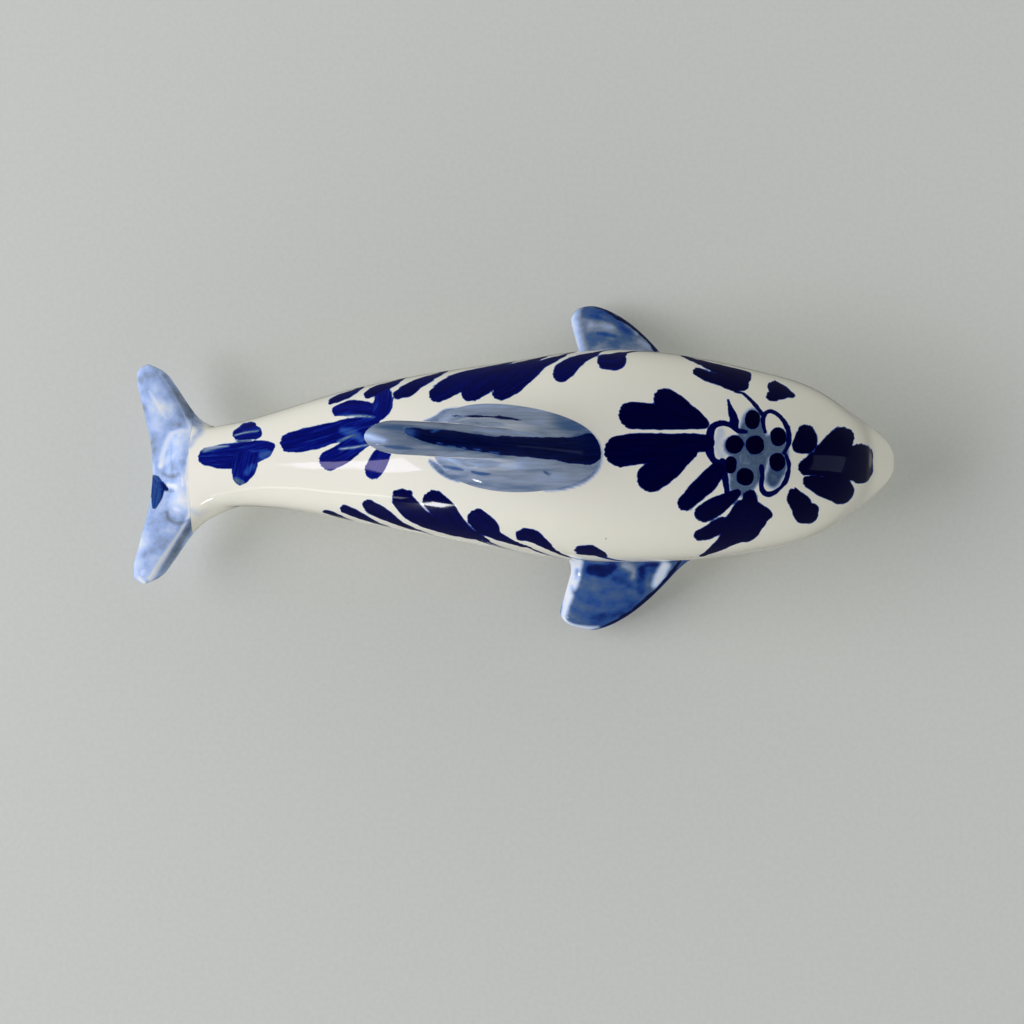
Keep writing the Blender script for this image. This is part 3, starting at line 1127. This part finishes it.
# %% Paint the flukes
FLUKE_DABS = [
    (-0.16, 0.25, [(160, 374, 0.8), (171, 390, 1.4), (182, 410, 0.7), (190, 427, 1.4)]),
    (-0.16, 0.3, [(149, 391, 0.8), (157, 404, 1.8), (165, 417, 0.8)]),
    (-0.16, 0.3, [(182, 430, 1.5), (171, 434, 2.2), (164, 450, 2.6), (160, 466, 2.2)]),
    (-0.12, 0.5, [(176, 453, 2), (160.6, 467, 2)]),
    (0.12, 0.6, [(171, 424, 3), (184, 427, 3)]),
    (0.1, 0.5, [(139, 380, 3)]),
    (0.1, 0.5, [(138, 390, 2), (143, 407, 2.5)]),
    (0.12, 0.5, [(145, 408, 3), (150, 430, 4), (152, 460, 4)]),
    (0.16, 0.6, [(145, 552, 5), (156, 548, 7), (166, 538, 4)]),
    (0.22, 0.3, [(163, 474, 1.5), (171, 476.5, 1.8), (179, 474.5, 1.5)]),
    (-0.2, 0.25, [(168, 485, 2), (175, 486.5, 2)]),
    (0.2, 0.25, [(166, 490.5, 1.2), (173, 491, 1.2)]),
    (0.12, 0.4, [(182, 463, 3), (190, 464, 3)]),
    (-0.08, 0.8, [(178, 490, 8), (180, 508, 8)]),
    (0.2, 0.25, [(167, 512, 1), (169, 519, 1.3), (176, 523, 1.5), (183, 522.5, 1.3), (190, 519, 1)]),
    (-0.26, 0.3, [(200, 503, 1), (190, 515, 2), (180, 532, 1.4), (167, 552, 2.2), (150, 579, 2)]),
    (0.19, 0.4, [(164, 376, 2.5), (172, 387, 4), (180, 398.5, 4.5), (190, 412, 5), (201, 427, 5)]),
    (0.21, 0.35, [(200, 513, 2.5), (193, 521, 3), (186, 533, 3.5), (173, 554, 3.5), (158, 579, 2.5)]),
    (-0.2, 0.3, [(139, 578, 1.5), (146, 584, 2), (154, 583, 1.5)]),
    (-0.6, 0.45, [(194, 446, 1), (189.5, 462, 2), (190, 490, 2), (192, 510, 2)]),
]
FLUKE_MARK = [
    [(153, 477, 2), (156, 481, 4.5), (157.5, 490, 6), (156.5, 499, 4.5), (154.5, 507, 2)],
    [(160, 485, 4), (167, 489.3, 1.6)],
]
FLUKE_DRY = [
    (0.16, 0.5, [(154, 480, 8), (155, 505, 8)]),
]
paint_fin(
    flukes, FLUKE_DABS, base=0.2, cloudy=0.36, flow=(1.3, 0.11, 0.3), strokes=FLUKE_MARK, dry=FLUKE_DRY,
)

# %% [markdown]
# ## The glaze and the cobalt under it
# The ware is white earthenware under a clear glaze. To the eye that is a warm white with a wet, even gloss.
# Cobalt sinks a little into the glaze, so a stroke has a thin lighter rim, bristle streaks show where the
# brush ran dry, and thin paint reads as grey blue. One ramp for the body and one for the fins turn the
# thickness of the cobalt into a colour. Glaze has an IOR near 1.5, and a fired gloss glaze a roughness
# below 0.1.

# %% Colours and nodes


def linear(hexa):
    """An sRGB hex colour as linear red, green, blue and alpha."""
    values = [int(hexa[k:k + 2], 16) / 255 for k in (1, 3, 5)]
    return [v / 12.92 if v <= 0.04045 else ((v + 0.055) / 1.055) ** 2.4 for v in values] + [1]


def add(tree, kind, inputs=None, stops=(), **settings):
    """Adds a node, gives it its settings and ramp stops, and links or sets its inputs."""
    made = tree.nodes.new(kind)
    for name, value in settings.items():
        setattr(made, name, value)
    for k, (position, hexa) in enumerate(stops):
        stop = made.color_ramp.elements[k] if k < 2 else made.color_ramp.elements.new(position)
        stop.position = position
        stop.color = linear(hexa)
    for name, value in (inputs or {}).items():
        if isinstance(value, bpy.types.NodeSocket):
            tree.links.new(value, made.inputs[name])
        else:
            made.inputs[name].default_value = value
    return made


def maths(tree, operation, *values, **settings):
    """The result of a calculation with sockets and plain numbers."""
    return add(tree, "ShaderNodeMath", dict(enumerate(values)), operation=operation, **settings).outputs[0]


def noise(tree, place, size, detail=2, roughness=0.5):
    """Soft noise whose blotches are about one size."""
    inputs = {"Vector": place, "Scale": 1 / size, "Detail": detail, "Roughness": roughness}
    return add(tree, "ShaderNodeTexNoise", inputs).outputs["Fac"]


def remap(tree, value, source, target=(0, 1), **settings):
    """A value carried from one range to another and held at its ends."""
    ranges = dict(zip(("From Min", "From Max", "To Min", "To Max"), (*source, *target)))
    return add(tree, "ShaderNodeMapRange", {"Value": value, **ranges}, **settings).outputs[0]


print("pure white in linear light:", linear("#ffffff"))

# %% Glazed earthenware
# Bristle streaks are about 0.35 mm wide and several mm long: how fast they change along and across a stroke
STREAK = (0.22, 2.6, 1)
# The edge of a stroke wanders by a tenth or two of a millimetre, over some 2 mm
WANDER_SIZE = 2 * MM
WANDER = (0.6, -0.2)
# Where the brush was set down, its hairs leave teeth a few tenths of a millimetre long
TEETH_REACH = (0.9, 0.1)
TEETH = (0, 0.7)
# Half width of the soft rim of a stroke, and how much narrower than read its half width is, both in mm
FULL_RIM = (0.1, 0)
FINE_RIM = (0.07, 0.08)
# The streaks that run dry, and how much paint a dry brush leaves out there and everywhere
DRY_STREAK = (0.42, 0.78)
DRY_LOSS = (0.45, 0.25)
FINE_THICKNESS = 0.94
# Thin paint is cloudy, where it is there at all
CLOUD_STREAK = (0.3, 0.7)
CLOUD = (-0.45, 0.45)
WASH_STARTS = 6
# The glaze is wavy over some 3 mm
RIPPLE_SIZE = 3 * MM
RIPPLE_STRENGTH = 0.2
RIPPLE_DEPTH = 0.1 * MM
GLAZE_IOR = 1.5


def glazed_earthenware(name, ramp, roughness):
    """Clear gloss glaze over white ware, coloured by how thick the cobalt lies under it."""
    material = bpy.data.materials.new(name)
    material.use_nodes = True
    tree = material.node_tree
    shader = tree.nodes["Principled BSDF"]
    place = add(tree, "ShaderNodeTexCoord").outputs["Object"]
    read = {}
    for key in ("ink", "fine", "wash", "tone", "worn"):
        read[key] = add(tree, "ShaderNodeAttribute", attribute_name=key).outputs["Fac"]
    bristle = add(tree, "ShaderNodeAttribute", attribute_name="bristle").outputs["Vector"]
    stretched = add(tree, "ShaderNodeVectorMath", {0: bristle, 1: STREAK}, operation="MULTIPLY")
    streak = noise(tree, stretched.outputs[0], size=1, detail=3, roughness=0.6)
    wander = noise(tree, place, WANDER_SIZE, detail=4, roughness=0.55)
    shift = maths(tree, "MULTIPLY_ADD", wander, *WANDER)
    along = add(tree, "ShaderNodeSeparateXYZ", {"Vector": bristle}).outputs["X"]
    hair = maths(tree, "SUBTRACT", streak, 0.5)
    ragged = maths(tree, "MULTIPLY_ADD", hair, remap(tree, along, TEETH_REACH, TEETH), shift)
    cobalt = []
    for key, (rim, narrower), moved in (("ink", FULL_RIM, ragged), ("fine", FINE_RIM, shift)):
        depth = maths(tree, "ADD", read[key], moved)
        edge = (narrower - rim, narrower + rim)
        cobalt.append(remap(tree, depth, edge, interpolation_type="SMOOTHSTEP"))
    lean = maths(tree, "MULTIPLY_ADD", remap(tree, streak, DRY_STREAK), *DRY_LOSS)
    lean = maths(tree, "MULTIPLY_ADD", lean, read["tone"], read["worn"])
    full = maths(tree, "MULTIPLY", maths(tree, "SUBTRACT", 1, lean), cobalt[0])
    thin = maths(tree, "MULTIPLY", cobalt[1], FINE_THICKNESS)
    cloud = maths(tree, "MULTIPLY", remap(tree, streak, CLOUD_STREAK, CLOUD), read["tone"])
    there = maths(tree, "MULTIPLY", read["wash"], WASH_STARTS, use_clamp=True)
    washed = maths(tree, "MULTIPLY_ADD", there, cloud, read["wash"])
    thick = maths(tree, "MAXIMUM", maths(tree, "MAXIMUM", full, thin), washed)
    colour = add(tree, "ShaderNodeValToRGB", {"Fac": thick}, ramp)
    tree.links.new(colour.outputs["Color"], shader.inputs["Base Color"])
    ripple = {"Height": noise(tree, place, RIPPLE_SIZE, detail=1), "Strength": RIPPLE_STRENGTH}
    bump = add(tree, "ShaderNodeBump", {**ripple, "Distance": RIPPLE_DEPTH})
    tree.links.new(bump.outputs["Normal"], shader.inputs["Normal"])
    shader.inputs["Roughness"].default_value = roughness
    shader.inputs["IOR"].default_value = GLAZE_IOR
    return material


BODY_RAMP = [
    (0, "#e3e0d0"), (0.1, "#c3cad2"), (0.25, "#8d9dba"), (0.42, "#52667f"), (0.5, "#3a4f6a"),
    (0.62, "#26489a"), (0.72, "#123084"), (0.8, "#071070"), (0.9, "#030950"), (1, "#010020"),
]
FIN_RAMP = [
    (0, "#dfe2e2"), (0.12, "#bccdea"), (0.25, "#9db4de"), (0.42, "#828ea0"), (0.55, "#4a6385"),
    (0.68, "#284c8c"), (0.8, "#0a2064"), (1, "#010020"),
]
# Gives the eye a wet, warm white with near-black blue strokes sunk into it
painted = glazed_earthenware("painted_white_earthenware", BODY_RAMP, roughness=0.06)
# Gives the eye the same wet gloss over a streaky grey blue that the white shines through
washed = glazed_earthenware("cobalt_washed_earthenware", FIN_RAMP, roughness=0.08)
SHARP_EDGE = math.radians(40)
for piece in (body, flukes, dorsal, left_flipper, right_flipper):
    piece.data.materials.clear()
    piece.data.materials.append(painted if piece is body else washed)
    piece.data.set_sharp_from_angle(angle=SHARP_EDGE)
print("materials:", painted.name, washed.name)

# %% [markdown]
# ## The stone top
# The figurine lies on a pale honed stone top, drawn plain here. Gloss glaze mirrors what is around it, and
# full strokes look almost black only while they mirror something dark. So the top is darker in reflections,
# as with black cards around the table, except close under the body, where a pale reflection keeps the rim
# of the white glaze from looking dark.

# %% Floor
FLOOR_HALF = 2
HONED_ROUGHNESS = 0.5
# Real grain is finer, and is drawn only as fine as the picture can show
GRAIN_SIZE = 0.7 * MM
MIRRORED_STONE = "#45464a"
# The pale part of the reflection is an oval: its shares of x and y, and where it fades, in metres
NEAR_SHARES = (0.6, 1.5, 0)
NEAR_FADE = (26 * MM, 32 * MM)

floor_mesh = bpy.data.meshes.new("counter")
floor_corners = [(x * FLOOR_HALF, y * FLOOR_HALF, 0) for x, y in ((-1, -1), (1, -1), (1, 1), (-1, 1))]
floor_mesh.from_pydata(floor_corners, [], [(0, 1, 2, 3)])
floor = add_object("counter", floor_mesh)
# Gives the eye a pale, matt grey green with a soft shadow and almost no mirror image
stone = bpy.data.materials.new("honed_stone")
stone.use_nodes = True
tree = stone.node_tree
shader = tree.nodes["Principled BSDF"]
place = add(tree, "ShaderNodeTexCoord").outputs["Object"]
grain = noise(tree, place, GRAIN_SIZE)
tint = add(tree, "ShaderNodeValToRGB", {"Fac": grain}, [(0.3, "#d6d7cd"), (0.6, "#d9dad1"), (1, "#dcddd4")])
off_centre = add(tree, "ShaderNodeVectorMath", {0: place, 1: NEAR_SHARES}, operation="MULTIPLY")
off_centre = add(tree, "ShaderNodeVectorMath", {0: off_centre.outputs[0]}, operation="LENGTH")
far = remap(tree, off_centre.outputs["Value"], NEAR_FADE)
mirrored = add(tree, "ShaderNodeLightPath").outputs["Is Glossy Ray"]
mirrored = maths(tree, "MULTIPLY", mirrored, far)
shades = {0: mirrored, 6: tint.outputs["Color"], 7: linear(MIRRORED_STONE)}
tint = add(tree, "ShaderNodeMix", shades, data_type="RGBA")
tree.links.new(tint.outputs[2], shader.inputs["Base Color"])
shader.inputs["Roughness"].default_value = HONED_ROUGHNESS
floor_mesh.materials.append(stone)
print("floor:", [round(v, 2) for v in floor.dimensions], "m")

# %% [markdown]
# ## Room and lamps
# It is daylight indoors: a pale room, and a large soft light from behind the tail. Three windows and a
# doorway only matter because the glaze mirrors them as thin bright bands. The room itself is almost dark in
# reflections, and the large soft light isn't mirrored at all, because it would cover the painting.

# %% Room and lamps
ROOM_LEVEL = 1.8
MIRRORED_ROOM_LEVEL = 0.04
# Name, azimuth and elevation in degrees, distance and size in metres, brightness and colour
LAMPS = [
    ("softbox", -178, 27, 1.2, (0.9, 0.9), 4.2, "#f6f6ff"),
    ("window", -161, 38.5, 1.2, (0.32, 0.22), 5, "#e0d6ff"),
    ("low_window", -117.8, 4, 1.0, (0.06, 0.13), 18, "#ffffff"),
    ("far_window", -130, 7, 1.0, (0.2, 0.05), 2.5, "#ffffff"),
    ("doorway", -4, 15, 1.0, (0.27, 0.5), 0.3, "#c4d8ff"),
]

world = bpy.data.worlds.new("room")
world.use_nodes = True
room = world.node_tree
background = room.nodes["Background"]
direction = add(room, "ShaderNodeTexCoord").outputs["Generated"]
height = add(room, "ShaderNodeSeparateXYZ", {"Vector": direction}).outputs["Z"]
sky_ramp = [(0, "#f6f8fa"), (0.3, "#dfe1e3"), (0.6, "#787a7c"), (1, "#464748")]
sky = add(room, "ShaderNodeValToRGB", {"Fac": height}, sky_ramp)
mirrored = add(room, "ShaderNodeLightPath").outputs["Is Glossy Ray"]
level = maths(room, "MULTIPLY_ADD", mirrored, MIRRORED_ROOM_LEVEL - ROOM_LEVEL, ROOM_LEVEL)
room.links.new(level, background.inputs["Strength"])
room.links.new(sky.outputs["Color"], background.inputs["Color"])
bpy.context.scene.world = world

for name, azimuth, elevation, distance, size, brightness, colour in LAMPS:
    data = bpy.data.lights.new(name, "AREA")
    data.shape = "RECTANGLE"
    data.size, data.size_y = size
    data.energy = brightness * math.pi * size[0] * size[1]
    data.color = linear(colour)[:3]
    around, climb = math.radians(azimuth), math.radians(elevation)
    out = distance * math.cos(climb)
    lamp = add_object(name, data)
    lamp.location = (out * math.cos(around), out * math.sin(around), distance * math.sin(climb))
    lamp.rotation_euler = (-lamp.location).to_track_quat("-Z", "Y").to_euler()
    lamp.visible_glossy = name != "softbox"
print("lamps:", len(bpy.data.lights))
bpy.context.scene.view_settings.view_transform = "Standard"

# %% [markdown]
# ## Handing over
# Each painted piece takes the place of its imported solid, rides on the part's only body and gets the slot of
# its material. The boxes of both models are written down side by side, because a painted piece should be no
# larger than the solid it dresses.

# %% Hand over
for piece, node, slot in [
    (body, "body_shell", "white_glazed_earthenware"),
    (dorsal, "dorsal_fin", "blue_wash_glazed_earthenware"),
    (left_flipper, "left_flipper", "blue_wash_glazed_earthenware"),
    (right_flipper, "right_flipper", "blue_wash_glazed_earthenware"),
    (flukes, "tail_flukes", "blue_wash_glazed_earthenware"),
]:
    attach(piece, "root")
    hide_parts(node)
